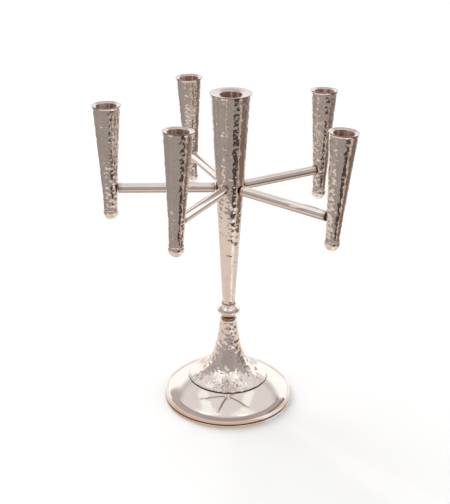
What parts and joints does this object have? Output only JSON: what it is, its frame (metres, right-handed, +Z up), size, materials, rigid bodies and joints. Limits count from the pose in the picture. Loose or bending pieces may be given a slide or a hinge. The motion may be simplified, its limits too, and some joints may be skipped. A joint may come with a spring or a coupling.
{
  "type": "menorah",
  "caption": "Standing menorah: hammered conical stem on a domed foot, straight radiating arms carrying hammered conical candle cups with lift-out nozzles.",
  "frame": {"origin": "centre of the foot ring's underside, on the stem's axis", "axes": "+Z up along the stem, -Y to the front, +X to the right seen from the front"},
  "size_m": [0.2806, 0.2749, 0.373],
  "materials": {
    "polished_silver": "mirror-polished silver plate with a warm tone and fine wipe marks",
    "hammered_silver": "hand-hammered silver plate, bright on the faces of the hammer marks and darker between them",
    "bare_brass": "unplated turned brass",
    "zinc_steel": "zinc-plated rod and washer"
  },
  "bodies": {
    "stand": {"foot_ring": "polished_silver", "foot_dish": "polished_silver", "foot_washer": "zinc_steel", "foot_nut": "bare_brass", "tie_rod": "zinc_steel", "bell": "hammered_silver", "neck_collar": "polished_silver", "knop": "polished_silver", "stem": "hammered_silver", "arm_hub": "bare_brass", "left_arm": "polished_silver", "left_arm_rod": "zinc_steel", "left_cup": "hammered_silver", "left_cup_core": "bare_brass", "left_finial": "polished_silver", "front_left_arm": "polished_silver", "front_left_arm_rod": "zinc_steel", "front_left_cup": "hammered_silver", "front_left_cup_core": "bare_brass", "front_left_finial": "polished_silver", "front_right_arm": "polished_silver", "front_right_arm_rod": "zinc_steel", "front_right_cup": "hammered_silver", "front_right_cup_core": "bare_brass", "front_right_finial": "polished_silver", "rear_right_arm": "polished_silver", "rear_right_arm_rod": "zinc_steel", "rear_right_cup": "hammered_silver", "rear_right_cup_core": "bare_brass", "rear_right_finial": "polished_silver", "rear_left_arm": "polished_silver", "rear_left_arm_rod": "zinc_steel", "rear_left_cup": "hammered_silver", "rear_left_cup_core": "bare_brass", "rear_left_finial": "polished_silver"},
    "centre_nozzle_insert": {"centre_nozzle": "polished_silver"},
    "left_nozzle_insert": {"left_nozzle": "polished_silver"},
    "front_left_nozzle_insert": {"front_left_nozzle": "polished_silver"},
    "front_right_nozzle_insert": {"front_right_nozzle": "polished_silver"},
    "rear_right_nozzle_insert": {"rear_right_nozzle": "polished_silver"},
    "rear_left_nozzle_insert": {"rear_left_nozzle": "polished_silver"}
  },
  "joints": [
    {"name": "centre_nozzle_lift", "type": "slide", "parent": "stand", "child": "centre_nozzle_insert", "axis": [0, 0, 1], "range_m": [0, 0.04]},
    {"name": "left_nozzle_lift", "type": "slide", "parent": "stand", "child": "left_nozzle_insert", "axis": [-0.009, 0.0085, 0.9999], "range_m": [0, 0.04]},
    {"name": "front_left_nozzle_lift", "type": "slide", "parent": "stand", "child": "front_left_nozzle_insert", "axis": [0.0254, 0.0365, 0.999], "range_m": [0, 0.04]},
    {"name": "front_right_nozzle_lift", "type": "slide", "parent": "stand", "child": "front_right_nozzle_insert", "axis": [0.0502, -0.013, 0.9987], "range_m": [0, 0.04]},
    {"name": "rear_right_nozzle_lift", "type": "slide", "parent": "stand", "child": "rear_right_nozzle_insert", "axis": [0.0141, 0.0391, 0.9991], "range_m": [0, 0.04]},
    {"name": "rear_left_nozzle_lift", "type": "slide", "parent": "stand", "child": "rear_left_nozzle_insert", "axis": [-0.0211, 0.0012, 0.9998], "range_m": [0, 0.04]}
  ]
}
